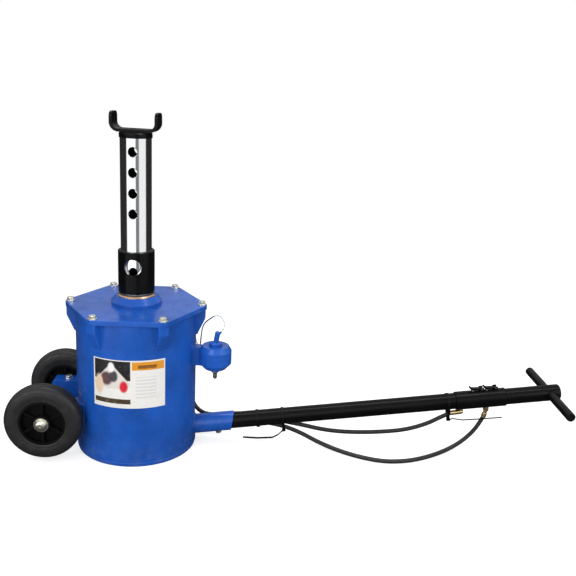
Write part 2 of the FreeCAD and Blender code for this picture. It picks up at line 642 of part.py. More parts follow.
# ---------------------------------------------------------------- tow handle
def make_handle():
    socket = rod_along_handle(SOCKET_R, 120, SOCKET_END + 8)
    socket = socket.cut(rod_along_handle(SOCKET_BORE_R, 100, SOCKET_END + 20))
    mitre = block((0, -60, -60), (80, 60, 60))
    mitre.rotate(Vector(0, 0, 0), ALONG_Y, 14.0)
    mitre.translate(Vector(SOCKET_END, 0, 0))
    socket = on_handle(socket.cut(mitre)).cut(disc(DRUM_R, 0, SHELL_TOP))
    screw_hole = on_handle(cylinder(SOCKET_SCREW_R + SCREW_GAP, Vector(SOCKET_SCREW_S, 0, -60), 42))
    save("handle_socket", socket.cut(screw_hole))
    head = regular_prism(16.0, 6, -SOCKET_R - 6.5, -SOCKET_R - 0.2, SOCKET_SCREW_S)
    shank_length = SOCKET_R - HANDLE_BORE_R + 3
    screw = head.fuse(cylinder(SOCKET_SCREW_R, Vector(SOCKET_SCREW_S, 0, -SOCKET_R - 1), shank_length))
    save("handle_screw", on_handle(screw.removeSplitter()))
    tube = rod_along_handle(HANDLE_R, HANDLE_START, VALVE_START).cut(
        rod_along_handle(HANDLE_BORE_R, HANDLE_START - 1, VALVE_START + 1))
    save("handle_tube", on_handle(tube).cut(screw_hole))
    grip = rod_along_handle(HANDLE_R, VALVE_END, HANDLE_END).cut(
        rod_along_handle(HANDLE_BORE_R, VALVE_END - 1, HANDLE_END + 1))
    grip = grip.cut(cylinder(T_BAR_R, Vector(T_BAR_S, -60, 0), 120, ALONG_Y))
    save("handle_head_tube", on_handle(grip))
    end_cap = rod_along_handle(HANDLE_R, HANDLE_END, HANDLE_END + 11)
    end_cap = end_cap.makeFillet(8.0, [e for e in end_cap.Edges if e.BoundBox.XMin > HANDLE_END + 10.9])
    bar = cylinder(T_BAR_R, Vector(T_BAR_S, -T_BAR_HALF + 4, 0), 2 * T_BAR_HALF - 8, ALONG_Y)
    bar = bar.cut(cylinder(T_BAR_R - 2.6, Vector(T_BAR_S, -T_BAR_HALF, 0), 2 * T_BAR_HALF, ALONG_Y))
    save("t_bar", on_handle(bar))
    plugs = []
    for side in (-1, 1):
        inside = cylinder(T_BAR_R - 2.65, Vector(T_BAR_S, side * (T_BAR_HALF - 16), 0), 14, ALONG_Y * side)
        outside = cylinder(T_BAR_R, Vector(T_BAR_S, side * (T_BAR_HALF - 4), 0), 4, ALONG_Y * side)
        rim = [e for e in outside.Edges if abs(e.BoundBox.YMin + e.BoundBox.YMax) / 2 > T_BAR_HALF - 0.1]
        plugs.append(on_handle(outside.makeFillet(2.5, rim).fuse(inside).removeSplitter()))
    save("handle_plugs", on_handle(end_cap), *plugs)


def make_valve():
    body = rod_along_handle(VALVE_R, VALVE_START, VALVE_END)
    body = body.makeChamfer(2.0, [e for e in body.Edges if e.BoundBox.XLength < 0.1])
    body = body.fuse(rod_along_handle(SPIGOT_R, VALVE_START - SPIGOT_LENGTH, VALVE_END + SPIGOT_LENGTH))
    body = cut_all(body, [
        cylinder(LIFT_SCREW_R + 0.1, Vector(LIFT_PORT_S, 0, -40), 23),
        cylinder(RETURN_SCREW_R + 0.1, Vector(RETURN_PORT_S, 0, -40), 28),
        cylinder(INLET_SCREW_R + 0.1, Vector(INLET_S, 12, 0), 40, ALONG_Y),
    ])
    springs = []
    pins = []
    for name, station in LEVER_STATIONS.items():
        body = body.cut(cylinder(STEM_R + RUN_FIT, Vector(station, 0, SPRING_BOTTOM), 60))
        stem_top = LEVER_PIVOT_N - LEVER_T / 2 - GAP
        stem = cylinder(STEM_R, Vector(station, 0, STEM_BOTTOM), stem_top - STEM_BOTTOM)
        save(name + "_valve_stem", on_handle(stem))
        coil = cylinder(STEM_R, Vector(station, 0, SPRING_BOTTOM), SPRING_TOP - SPRING_BOTTOM)
        hole = cylinder(STEM_R - SPRING_WALL, Vector(station, 0, SPRING_BOTTOM - 1), 20)
        springs.append(on_handle(coil.cut(hole)))
        pivot = station + LEVER_PIVOT_AFTER
        for side in (-1, 1):
            body = body.fuse(make_ear(pivot, side))
        half_pin = LEVER_WIDTH / 2 + GAP + EAR_T + 1
        pin = cylinder(PIVOT_R, Vector(pivot, -half_pin, LEVER_PIVOT_N), 2 * half_pin, ALONG_Y)
        pins.append(on_handle(pin))
        save(name + "_lever", on_handle(make_lever(pivot)))
    save("valve_body", on_handle(body.removeSplitter()))
    save("valve_springs", *springs)
    save("lever_pins", *pins)


def make_ear(pivot, side):
    """One of the two ears that hold a lever's cross pin."""
    near, far = sorted((side * (LEVER_WIDTH / 2 + GAP), side * (LEVER_WIDTH / 2 + GAP + EAR_T)))
    ear = block((pivot - EAR_HALF, near, VALVE_R - 4), (pivot + EAR_HALF, far, LEVER_PIVOT_N + 4))
    return ear.cut(cylinder(PIVOT_R, Vector(pivot, -20, LEVER_PIVOT_N), 40, ALONG_Y))


def make_lever(pivot):
    """A thumb lever: a flat paddle whose free end curls up, turning on a cross pin."""
    free = pivot - LEVER_REACH
    low = LEVER_PIVOT_N - LEVER_T / 2
    high = LEVER_PIVOT_N + LEVER_T / 2
    outline = [
        (free, 0, high + 7), (free + 5, 0, high + 1.5), (pivot - 12, 0, high), (pivot + LEVER_TAIL, 0, high),
        (pivot + LEVER_TAIL, 0, low), (free + 3, 0, low), (free - 3, 0, low + 7),
    ]
    paddle = prism(outline, Vector(0, LEVER_WIDTH, 0))
    paddle.translate(Vector(0, -LEVER_WIDTH / 2, 0))
    return paddle.cut(cylinder(PIVOT_R + RUN_FIT, Vector(pivot, -20, LEVER_PIVOT_N), 40, ALONG_Y))


def make_fittings():
    save("brass_fittings", make_lift_fitting(), make_return_fitting())
    neck = cylinder(INLET_SCREW_R, Vector(INLET_S, 14, 0), 20, ALONG_Y)
    tip = cylinder(NIPPLE_R, Vector(INLET_S, 30, 0), NIPPLE_END - 30, ALONG_Y)
    collar = cylinder(8.0, Vector(INLET_S, VALVE_R + 1, 0), 7, ALONG_Y)
    groove = cylinder(9.0, Vector(INLET_S, 37, 0), 2.5, ALONG_Y)
    groove = groove.cut(cylinder(4.6, Vector(INLET_S, 36, 0), 5, ALONG_Y))
    air_way = cylinder(2.5, Vector(INLET_S, 13, 0), 60, ALONG_Y)
    nipple = cut_all(neck.fuse(tip).fuse(collar), [groove, air_way])
    save("air_inlet_nipple", on_handle(nipple.removeSplitter()))


def make_lift_fitting():
    """A threaded hexagon under the valve, with a hose stem that leans towards the cylinder."""
    top = on_handle(Part.Vertex(Vector(LIFT_PORT_S, 0, -VALVE_R))).Point
    knee = Vector(top.x, 0, top.z - 14)
    thread = on_handle(cylinder(LIFT_SCREW_R, Vector(LIFT_PORT_S, 0, -VALVE_R - 4), 14))
    hexagon = regular_prism(15.0, 6, top.z - 12, top.z - 1, top.x)
    hose_end = Vector(*LIFT_HOSE_ROUTE[0])
    to_knee = knee - hose_end
    stem = cylinder(5.5, hose_end, to_knee.Length, to_knee).fuse(cylinder(7.6, hose_end, 12, to_knee))
    return thread.fuse(hexagon).fuse(Part.makeSphere(6.5, knee)).fuse(stem).removeSplitter()


def make_return_fitting():
    """A short elbow under the valve that turns back along the handle."""
    knee_n = -VALVE_R - 9.5
    drop = cylinder(5.0, Vector(RETURN_PORT_S, 0, knee_n), 20).fuse(
        Part.makeSphere(7.0, Vector(RETURN_PORT_S, 0, knee_n)))
    knee = on_handle(Part.Vertex(Vector(RETURN_PORT_S, 0, knee_n))).Point
    to_hose = Vector(*RETURN_HOSE_ROUTE[0]) - knee
    return on_handle(drop).fuse(cylinder(7.2, knee, to_hose.Length, to_hose)).removeSplitter()


def port_fitting(port, route):
    """An elbow or straight fitting between a wall port and the end of a hose."""
    flat = Vector(port[0], port[1], 0).normalize()
    wall = Vector(*port)
    end = Vector(*route[-1])
    before = Vector(*route[-2])
    inward = end.sub(before).normalize()
    turn_point = wall + flat * 15.0
    body = cylinder(PORT_R - 0.2, wall - flat * (DRUM_WALL - 0.5), 20, flat)
    body = body.fuse(cylinder(10.0, wall + flat * 2.5, 8, flat))
    body = body.fuse(Part.makeSphere(8.5, turn_point))
    reach = turn_point.sub(end)
    print("fitting bend %.1f degrees" % math.degrees(reach.getAngle(inward)))
    return body.fuse(cylinder(7.8, end, reach.Length, reach)).removeSplitter()


def make_hoses():
    save("lift_hose", swept_route("lift_hose", LIFT_HOSE_ROUTE, HOSE_R))
    save("return_hose", swept_route("return_hose", RETURN_HOSE_ROUTE, HOSE_R))
    save("port_fittings",
         port_fitting(on_drum(LIFT_PORT_TURN, LIFT_PORT_Z), LIFT_HOSE_ROUTE),
         port_fitting(on_drum(RETURN_PORT_TURN, RETURN_PORT_Z), RETURN_HOSE_ROUTE))


def hull(points):
    """The convex outline of points in the plane, going round once."""
    ordered = sorted(points)

    def half(sequence):
        side = []
        for p in sequence:
            while len(side) > 1 and ((side[-1][0] - side[-2][0]) * (p[1] - side[-2][1])
                                     - (side[-1][1] - side[-2][1]) * (p[0] - side[-2][0])) <= 0:
                side.pop()
            side.append(p)
        return side[:-1]

    return half(ordered) + half(ordered[::-1])


def make_tie(s, hoses, slack, head_shift, tail):
    """A cable tie: a strap pulled round the tube and the hoses beside it, with its head and a cut tail."""
    across = [(0.0, 0.0, HANDLE_R + GAP)] + [(y, n, HOSE_R + slack) for y, n in hoses]
    points = []
    for y, n, r in across:
        for i in range(24):
            angle = 2 * math.pi * i / 24
            points.append((y + r * math.cos(angle), n + r * math.sin(angle)))
    inner = hull(points)
    face = Part.Face(Part.makePolygon([Vector(s, y, n) for y, n in inner + inner[:1]]))
    band = face.makeOffset2D(TIE_THICKNESS).cut(face).extrude(Vector(TIE_WIDTH, 0, 0))
    low = min(n for y, n in inner)
    bottom = [y for y, n in inner if n < low + 0.5]
    y = sum(bottom) / len(bottom) + head_shift
    head = block((s - 1.5, y - 5, low - 7), (s + TIE_WIDTH + 1.5, y + 5, low - 0.5))
    tie = on_handle(band.fuse(head).removeSplitter())
    return tie.fuse(tail).removeSplitter() if tail else tie


def across_handle(point):
    """Where a point lies across the handle's axis: sideways and upwards."""
    rise = math.radians(HANDLE_RISE)
    return point[1], (point[2] - HANDLE_Z) * math.cos(rise) - point[0] * math.sin(rise)


def point_on_route(route, x):
    """The point of a route at a given x, on the straight run that crosses it."""
    for a, b in zip(route, route[1:]):
        if min(a[0], b[0]) <= x <= max(a[0], b[0]):
            t = (x - a[0]) / (b[0] - a[0])
            return tuple(a[i] + t * (b[i] - a[i]) for i in range(3))
    raise ValueError("the route doesn't cross x = %g" % x)


def make_ties():
    rise = math.radians(HANDLE_RISE)
    ties = []
    for x, routes, slack, head_shift, tail in (
        (357.0, (LIFT_HOSE_ROUTE, RETURN_HOSE_ROUTE), 4.0, 0.0, None),
        (432.0, (LIFT_HOSE_ROUTE, RETURN_HOSE_ROUTE), 4.4, 0.0, tie_tail(NEAR_TAIL, 5.0, TIE_THICKNESS)),
        (926.0, (RETURN_HOSE_ROUTE,), 3.0, -6.0, tie_tail(FAR_TAIL, 2.4, 3.6)),
    ):
        hoses = [across_handle(point_on_route(route, x)) for route in routes]
        s = x / math.cos(rise) - TIE_WIDTH / 2
        ties.append(make_tie(s, hoses, slack, head_shift, tail))
    save("cable_ties", *ties)


def tie_tail(points, height, depth):
    """A flat strap that runs through points in the plane of the handle."""
    upper = [Vector(x, y, z + height / 2) for x, y, z in points]
    lower = [Vector(x, y, z - height / 2) for x, y, z in reversed(points)]
    outline = upper + lower
    strap = Part.Face(Part.makePolygon(outline + outline[:1])).extrude(Vector(0, depth, 0))
    strap.translate(Vector(0, -depth / 2, 0))
    return strap


# ---------------------------------------------------------------- lock pin
def make_holder():
    x = HOLDER_X
    y = HOLDER_Y
    wall = HOLDER_WALL
    middle = (HOLDER_WAIST_LOW + HOLDER_WAIST_HIGH) / 2
    upper = turned([
        (SLEEVE_R, HOLDER_TOP), (HOLDER_TOP_R, HOLDER_TOP), (HOLDER_R, HOLDER_WAIST_HIGH), (HOLDER_R, middle),
        (HOLDER_R - wall, middle), (HOLDER_R - wall, HOLDER_WAIST_HIGH - wall / 2),
        (HOLDER_TOP_R - wall / 2, HOLDER_TOP - wall), (SLEEVE_R, HOLDER_TOP - wall),
    ], x, y)
    lower = turned([
        (SLEEVE_R, HOLDER_BOTTOM), (HOLDER_END_R, HOLDER_BOTTOM), (HOLDER_R, HOLDER_WAIST_LOW),
        (HOLDER_R, middle), (HOLDER_R - wall, middle), (HOLDER_R - wall, HOLDER_WAIST_LOW + wall / 2),
        (HOLDER_END_R - wall / 2, HOLDER_BOTTOM + wall), (SLEEVE_R, HOLDER_BOTTOM + wall),
    ], x, y)
    save("holder_cups", upper, lower)
    save("holder_sleeve", ring(SLEEVE_R, PIN_R + GAP, HOLDER_BOTTOM - 2, SLEEVE_TOP, x, y))
    length = math.hypot(x, y)
    arm = block((DRUM_R - 6, -HOLDER_ARM_HALF, HOLDER_ARM_LOW),
                (length - SLEEVE_R - 2, HOLDER_ARM_HALF, HOLDER_ARM_HIGH))
    arm = turned_about_z(arm, math.degrees(math.atan2(y, x)))
    arm = arm.cut(disc(DRUM_R, 0, SHELL_TOP))
    arm = arm.cut(disc(HOLDER_R + 0.02, 0, SHELL_TOP, x, y).common(
        disc(HOLDER_R + 0.02, HOLDER_WAIST_LOW, HOLDER_WAIST_HIGH, x, y)))
    outside = turned([
        (0, HOLDER_TOP), (HOLDER_TOP_R, HOLDER_TOP), (HOLDER_R, HOLDER_WAIST_HIGH),
        (HOLDER_R, HOLDER_WAIST_LOW), (HOLDER_END_R, HOLDER_BOTTOM), (0, HOLDER_BOTTOM),
    ], x, y)
    save("holder_arm", arm.cut(outside))


def make_lock_pin(ferrule):
    x = HOLDER_X
    y = HOLDER_Y
    pin = turned([
        (0, PIN_NOSE_BOTTOM), (PIN_NOSE_R - 2, PIN_NOSE_BOTTOM), (PIN_NOSE_R, PIN_NOSE_BOTTOM + 3),
        (PIN_NOSE_R, PIN_BOTTOM - 2),
        (PIN_R, PIN_BOTTOM + 4), (PIN_R, SLEEVE_TOP + GAP), (0, SLEEVE_TOP + GAP),
    ], x, y)
    head_low = SLEEVE_TOP + GAP
    head = turned([
        (0, head_low), (SLEEVE_R, head_low), (SLEEVE_R + 1, head_low + 1), (SLEEVE_R + 1, head_low + 4),
        (10, head_low + 8), (0, head_low + 8),
    ], x, y)
    lean = math.radians(PIN_FINGER_LEAN)
    foot = Vector(x, y, head_low + 2)
    finger = cylinder(PIN_FINGER_R, foot, PIN_FINGER_LENGTH, Vector(math.sin(lean), 0, math.cos(lean)))
    top_edges = [e for e in finger.Edges if e.BoundBox.ZMin > head_low + PIN_FINGER_LENGTH / 2]
    finger = finger.makeFillet(5.0, top_edges)
    save("lock_pin", pin.fuse(cylinder(5, Vector(x, y, head_low - 1), 2)).removeSplitter())
    head = head.fuse(finger).fuse(ferrule).cut(cylinder(5, Vector(x, y, head_low - 1), 2))
    save("lock_pin_head", head.removeSplitter())


def make_tether():
    """Saves the tether and its anchor, and returns the ferrule on its pin end."""
    save("tether", swept_route("tether", TETHER_ROUTE, TETHER_R))
    start = Vector(*TETHER_ROUTE[0])
    away = Vector(*TETHER_ROUTE[1]).sub(start).normalize()
    eye = start - away * 8.0
    flat = Vector(eye.x, eye.y, 0).normalize()
    wall = flat * DRUM_R + Vector(0, 0, eye.z)
    anchor = cylinder(2.5, wall, (eye - wall).Length + 1, flat)
    anchor = anchor.fuse(cylinder(TETHER_EYE_R, wall, 3.0, flat)).fuse(cylinder(FERRULE_R, eye, 8.0, away))
    save("tether_anchor", anchor.removeSplitter())
    end = Vector(*TETHER_ROUTE[-1])
    last = end.sub(Vector(*TETHER_ROUTE[-2])).normalize()
    return cylinder(FERRULE_R, end, 7.0, last)


def make_label():
    band = ring(DRUM_R + LABEL_T, DRUM_R, LABEL_LOW, LABEL_HIGH)
    wedge = []
    for degrees in (LABEL_FROM, (LABEL_FROM + LABEL_TO) / 2, LABEL_TO):
        angle = math.radians(degrees)
        wedge.append((400 * math.cos(angle), 400 * math.sin(angle), LABEL_LOW))
    save("label", band.common(prism([(0, 0, LABEL_LOW)] + wedge, Vector(0, 0, LABEL_HIGH - LABEL_LOW))))


make_cylinder()
make_lugs()
lid_bolts, lid_washers = make_lid()
clamp_bolts, clamp_washers = make_axle_arms()
save("m12_bolts", *lid_bolts, *clamp_bolts)
save("m12_washers", *lid_washers, *clamp_washers)
make_neck()
make_ram()
make_piston()
make_extension()
make_saddle()
make_wheels()
make_handle()
make_valve()
make_fittings()
make_hoses()
make_ties()
make_holder()
make_label()
make_lock_pin(make_tether())
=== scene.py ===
import json
import math
import bmesh
import bpy
from mathutils import Matrix, Vector

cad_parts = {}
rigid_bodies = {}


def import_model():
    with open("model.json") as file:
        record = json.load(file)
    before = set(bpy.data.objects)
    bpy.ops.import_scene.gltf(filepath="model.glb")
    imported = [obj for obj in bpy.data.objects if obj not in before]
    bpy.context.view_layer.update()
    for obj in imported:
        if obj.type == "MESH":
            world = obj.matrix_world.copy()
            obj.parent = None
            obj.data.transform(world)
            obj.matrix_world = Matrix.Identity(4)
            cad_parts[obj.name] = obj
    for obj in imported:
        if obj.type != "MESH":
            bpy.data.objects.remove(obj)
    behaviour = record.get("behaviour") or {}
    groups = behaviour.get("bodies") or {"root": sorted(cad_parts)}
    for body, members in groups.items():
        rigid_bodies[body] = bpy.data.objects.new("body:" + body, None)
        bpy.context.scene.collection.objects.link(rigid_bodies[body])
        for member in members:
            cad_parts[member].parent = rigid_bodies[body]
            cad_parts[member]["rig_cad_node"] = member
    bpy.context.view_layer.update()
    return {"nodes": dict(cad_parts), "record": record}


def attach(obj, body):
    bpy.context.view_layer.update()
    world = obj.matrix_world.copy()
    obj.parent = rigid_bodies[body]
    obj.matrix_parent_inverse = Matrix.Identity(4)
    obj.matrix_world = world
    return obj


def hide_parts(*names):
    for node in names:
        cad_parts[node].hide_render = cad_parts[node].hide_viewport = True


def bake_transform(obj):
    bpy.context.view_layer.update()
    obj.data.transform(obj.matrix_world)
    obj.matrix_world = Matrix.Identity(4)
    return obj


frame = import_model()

# ---------------------------------------------------------------- driving dimensions
DRUM_R = 0.170
DRUM_BASE_T = 0.010
LID_BOTTOM = 0.416
LUG_COUNT = 6
LUG_HALF_WIDTH = 0.015
LUG_BOTTOM = 0.344
TUBE_R = 0.0427
HANDLE_RISE = math.radians(7.04)
HANDLE_Z = 0.0353
SOCKET_R = 0.0285
ARM_INNER_Y = 0.058
ARM_OUTER_Y = 0.1054
ARM_BOTTOM = 0.088
ARM_TOP = 0.156
HOLDER_TURN = math.atan2(-0.045, 0.229)
HOLDER_ARM_HALF = 0.015
HOLDER_ARM_BOTTOM = 0.262
HOLDER_ARM_TOP = 0.316
LABEL_FROM = math.radians(-124.0)
LABEL_TO = math.radians(-55.4)
LABEL_LOW = 0.178
LABEL_HIGH = 0.317

AXLE_X = -0.237
AXLE_Z = 0.120
WHEEL_Y = 0.137
TYRE_STEPS = 128

HOSE_R = 0.00635
TETHER_R = 0.0020
TETHER_SIDES = 12
WELD_R = 0.0032
WELD_PITCH = 0.0042
WELD_SIDES = 10
RINGS_PER_DROP = 5
DROP_ROOT = 0.84               # a drop's radius at its ends, as a share of the bead's
DROP_RISE = 0.22
THIN_WELD_R = 0.0022
HOLDER_WELD_R = 0.0024
LUG_WELD_DROP = 0.006          # how far below the lid the lugs' welds end
LUG_WELD_STEPS = 6
BASE_WELD_STEP = 3             # degrees
SOCKET_WELD_OUT = 0.0008
SOCKET_WELD_STEPS = 48

# The cords' route points are the CAD part's own, listed one by one.
LIFT_HOSE_ROUTE = (
    (1.041, 0.0, 0.104), (1.029, -0.002, 0.079), (1.011, -0.005, 0.053), (0.986, -0.011, 0.0305),
    (0.953, -0.024, 0.0135), (0.908, -0.052, 0.0068), (0.853, -0.086, 0.0066), (0.792, -0.111, 0.0066),
    (0.722, -0.116, 0.0066), (0.650, -0.088, 0.0066), (0.588, -0.047, 0.0068), (0.536, -0.014, 0.015),
    (0.490, -0.004, 0.036), (0.440, -0.001, 0.055), (0.388, 0.018, 0.0565), (0.330, 0.038, 0.0535),
    (0.276, 0.047, 0.047), (0.232, 0.0525, 0.040), (0.206, 0.0545, 0.036),
)
RETURN_HOSE_ROUTE = (
    (0.938, 0.0, 0.1124), (0.914, 0.0005, 0.100), (0.872, 0.004, 0.073), (0.812, 0.008, 0.050),
    (0.745, 0.010, 0.040), (0.675, 0.010, 0.036), (0.605, 0.009, 0.037), (0.545, 0.010, 0.044),
    (0.492, 0.013, 0.055), (0.436, 0.0185, 0.0615), (0.385, 0.031, 0.0715), (0.330, 0.0385, 0.076),
    (0.276, 0.043, 0.0715), (0.242, 0.048, 0.0655), (0.213, 0.057, 0.060), (0.187, 0.0725, 0.059),
    (0.1655, 0.0925, 0.0685), (0.150, 0.111, 0.091), (0.140, 0.124, 0.121), (0.1345, 0.131, 0.157),
    (0.131, 0.1342, 0.199), (0.1284, 0.1344, 0.248), (0.1278, 0.1332, 0.303), (0.1285, 0.133, 0.358),
)
TETHER_ROUTE = (
    (0.156, 0.090, 0.362), (0.1565, 0.090, 0.336), (0.159, 0.087, 0.311), (0.165, 0.078, 0.291),
    (0.172, 0.064, 0.281), (0.178, 0.049, 0.284), (0.181, 0.038, 0.299), (0.1825, 0.031, 0.320),
    (0.185, 0.0265, 0.343), (0.190, 0.0225, 0.362), (0.200, 0.013, 0.376), (0.211, 0.0, 0.388),
    (0.222, -0.010, 0.3995), (0.236, -0.017, 0.4035), (0.248, -0.025, 0.396), (0.2535, -0.034, 0.383),
    (0.250, -0.042, 0.371), (0.2436, -0.045, 0.3635),
)

# Half of the tyre's section: (radius, distance from its middle plane), from the bead out to the tread.
TYRE_SECTION = (
    (0.0640, 0.0236), (0.0662, 0.0252), (0.0690, 0.0262), (0.0705, 0.0258), (0.0722, 0.0264),
    (0.0770, 0.0273), (0.0830, 0.0277), (0.0885, 0.0275), (0.0900, 0.0268), (0.0918, 0.0271),
    (0.0958, 0.0255), (0.1000, 0.0226), (0.1034, 0.0188), (0.1056, 0.0148), (0.1061, 0.0128),
    (0.1034, 0.0122), (0.1034, 0.0096), (0.1066, 0.0090), (0.1074, 0.0046), (0.1074, 0.0024),
    (0.1042, 0.0018), (0.1042, 0.0),
)

# The camera's place in metres, its turns, and its lens and sensor in millimetres.
CAMERA_PLACE = (0.3143, -2.1264, 1.0948)
CAMERA_YAW = math.radians(3.0926)
CAMERA_PITCH = math.radians(-15.9262)
CAMERA_ROLL = math.radians(2.8644)
CAMERA_LENS = 48.44
SENSOR_WIDTH = 36.0
CAMERA_REACH = 100.0


# ---------------------------------------------------------------- shader helpers
# The Mix node's colour sockets share their names with its number sockets, so they go by place.
MIX_COLOUR_A = 6
MIX_COLOUR_B = 7
MIX_COLOUR_RESULT = 2
BEVEL_SAMPLES = 4
EDGE_NOISE = 160.0
EDGE_NOISE_SHARE = 0.30
EDGE_SPREAD = 0.25


def new_material(name, colour, roughness, metallic=0.0):
    """A material with one Principled shader set to uniform values, for the helpers below to vary."""
    made = bpy.data.materials.new(name)
    made.use_nodes = True
    shader = made.node_tree.nodes["Principled BSDF"]
    shader.inputs["Base Color"].default_value = (*colour, 1.0)
    shader.inputs["Roughness"].default_value = roughness
    shader.inputs["Metallic"].default_value = metallic
    made.diffuse_color = (*colour, 1.0)
    return made


def feed(tree, socket, value):
    """Puts a number, a colour or another node's output into a socket."""
    if isinstance(value, bpy.types.NodeSocket):
        tree.links.new(value, socket)
    elif hasattr(value, "__len__") and len(value) == 3 and len(socket.default_value) == 4:
        socket.default_value = (*value, 1.0)
    else:
        socket.default_value = value


def set_shader(made, name, value):
    feed(made.node_tree, made.node_tree.nodes["Principled BSDF"].inputs[name], value)


def maths(tree, operation, a, b=0.0):
    node = tree.nodes.new("ShaderNodeMath")
    node.operation = operation
    for socket, value in zip(node.inputs, (a, b)):
        feed(tree, socket, value)
    return node.outputs[0]


def distance(tree, a, b):
    """The length of the vector (a, b)."""
    squares = maths(tree, "ADD", maths(tree, "MULTIPLY", a, a), maths(tree, "MULTIPLY", b, b))
    return maths(tree, "SQRT", squares)


def smooth_step(tree, value, low, high, from_value=0.0, to_value=1.0):
    """from_value below low, to_value above high, and a smooth change between them."""
    node = tree.nodes.new("ShaderNodeMapRange")
    node.interpolation_type = "SMOOTHSTEP"
    for name, number in (("Value", value), ("From Min", low), ("From Max", high),
                         ("To Min", from_value), ("To Max", to_value)):
        feed(tree, node.inputs[name], number)
    return node.outputs[0]


def mix_colours(tree, factor, a, b):
    node = tree.nodes.new("ShaderNodeMix")
    node.data_type = "RGBA"
    feed(tree, node.inputs["Factor"], factor)
    feed(tree, node.inputs[MIX_COLOUR_A], a)
    feed(tree, node.inputs[MIX_COLOUR_B], b)
    return node.outputs[MIX_COLOUR_RESULT]


def paler(colour, times, plus):
    """A paler kind of that colour, for dust and scuffs."""
    return tuple(min(1.0, times * c + plus) for c in colour)


def part_place(tree):
    """The shaded point in the CAD part's frame at rest, as one vector."""
    return tree.nodes.new("ShaderNodeTexCoord").outputs["Object"]


def part_axes(tree):
    node = tree.nodes.new("ShaderNodeSeparateXYZ")
    tree.links.new(part_place(tree), node.inputs[0])
    return node.outputs


def noise(tree, scale, detail=4.0, roughness=0.55, stretch=(1.0, 1.0, 1.0)):
    """Cloudy noise of that many features per metre, squeezed along the axes by stretch."""
    mapping = tree.nodes.new("ShaderNodeMapping")
    mapping.inputs["Scale"].default_value = stretch
    tree.links.new(part_place(tree), mapping.inputs["Vector"])
    node = tree.nodes.new("ShaderNodeTexNoise")
    node.inputs["Scale"].default_value = scale
    node.inputs["Detail"].default_value = detail
    node.inputs["Roughness"].default_value = roughness
    tree.links.new(mapping.outputs[0], node.inputs["Vector"])
    return node.outputs[0]


def clouds(tree, per_metre, start, full, least=0.0, most=1.0, detail=4.0):
    """Soft patches of noise: least where the noise is under start, most where it is over full."""
    return smooth_step(tree, noise(tree, per_metre, detail), start, full, least, most)


def rounded_edges(tree, radius):
    """The surface normal as if every edge had that radius."""
    node = tree.nodes.new("ShaderNodeBevel")
    node.samples = BEVEL_SAMPLES
    node.inputs["Radius"].default_value = radius
    return node.outputs[0]


def bump(tree, height, depth, normal=None, strength=1.0):
    node = tree.nodes.new("ShaderNodeBump")
    node.inputs["Strength"].default_value = strength
    node.inputs["Distance"].default_value = depth
    tree.links.new(height, node.inputs["Height"])
    if normal is not None:
        tree.links.new(normal, node.inputs["Normal"])
    return node.outputs[0]


def edge_mask(tree, radius):
    """1 near sharp edges and 0 on open surfaces, broken up by noise."""
    geometry = tree.nodes.new("ShaderNodeNewGeometry")
    compare = tree.nodes.new("ShaderNodeVectorMath")
    compare.operation = "DOT_PRODUCT"
    tree.links.new(rounded_edges(tree, radius), compare.inputs[0])
    tree.links.new(geometry.outputs["Normal"], compare.inputs[1])
    bent = maths(tree, "SUBTRACT", 1.0, compare.outputs["Value"])
    rough = maths(tree, "MULTIPLY", noise(tree, EDGE_NOISE), EDGE_NOISE_SHARE)
    return smooth_step(tree, maths(tree, "SUBTRACT", bent, rough), 0.0, EDGE_SPREAD)


# ---------------------------------------------------------------- materials
# Colours are linear red, green and blue.
BLUE = (0.010, 0.082, 0.40)
BLUE_WORN = (0.06, 0.09, 0.20)
BLACK = (0.003, 0.003, 0.0035)
BLACK_WORN = (0.03, 0.03, 0.03)
DUST = (0.30, 0.28, 0.25)
RUBBER_DUST = (0.06, 0.058, 0.055)
CHROME = (0.74, 0.75, 0.76)
# Bare steel of the bore, darkened near black as painted shade for the bore and the holes.
BORE_STEEL_SHADE = (0.035, 0.03, 0.026)
ZINC = (0.72, 0.71, 0.62)
STEEL = (0.46, 0.46, 0.46)
BRONZE = (0.60, 0.40, 0.25)
BRASS = (0.74, 0.56, 0.26)
ALUMINIUM = (0.60, 0.61, 0.62)
WIRE = (0.66, 0.67, 0.68)
HOSE_BLACK = (0.006, 0.006, 0.007)
TYRE_BLACK = (0.013, 0.013, 0.014)
SEAL_BLACK = (0.03, 0.03, 0.03)

PAINT_WEAR_R = 0.0009          # how near an edge the paint wears
PAINT_WEAR = 0.45
PAINT_EDGE_R = 0.0014          # the radius that paint gives an edge
DUST_HEIGHT = 0.10             # dust lies up to this height above the ground
DULL_PAINT = 0.72              # the duller patches' share of the colour
DUST_ROUGHENS = 0.4
PEEL_DEPTH = 0.00010
BROAD_PEEL = 0.8               # the broad waves' share in the orange peel
COAT_ROUGHNESS = 0.09
GRIMY_METAL = 0.45             # the grime's share of the metal's colour
GRIME_ROUGHENS = 0.3
BORE_ROUGHENS = 0.45
RUBBER_GRAIN_DEPTH = 0.00022
RUBBER_EDGE_R = 0.001
RUBBER_GLOSS = 0.28
PLASTIC_GRAIN_DEPTH = 0.00008
PLASTIC_EDGE_R = 0.0008
PLASTIC_GLOSS = 0.12
PAPER_WAVE_DEPTH = 0.00008
MADE_ROUND = (1.0, 1.0, 25.0)  # turning marks: noise squeezed along the axis
TURNED_GRAIN = 120.0
POLISHED = (1.0, 1.0, 30.0)
# Below these depths the chrome gives way to painted shade in the bore and the holes.
TUBE_WALL_FROM = 0.0026        # depths below the tube's outside between which the chrome ends
TUBE_WALL_TO = 0.0012

PAPER = (0.68, 0.67, 0.65)


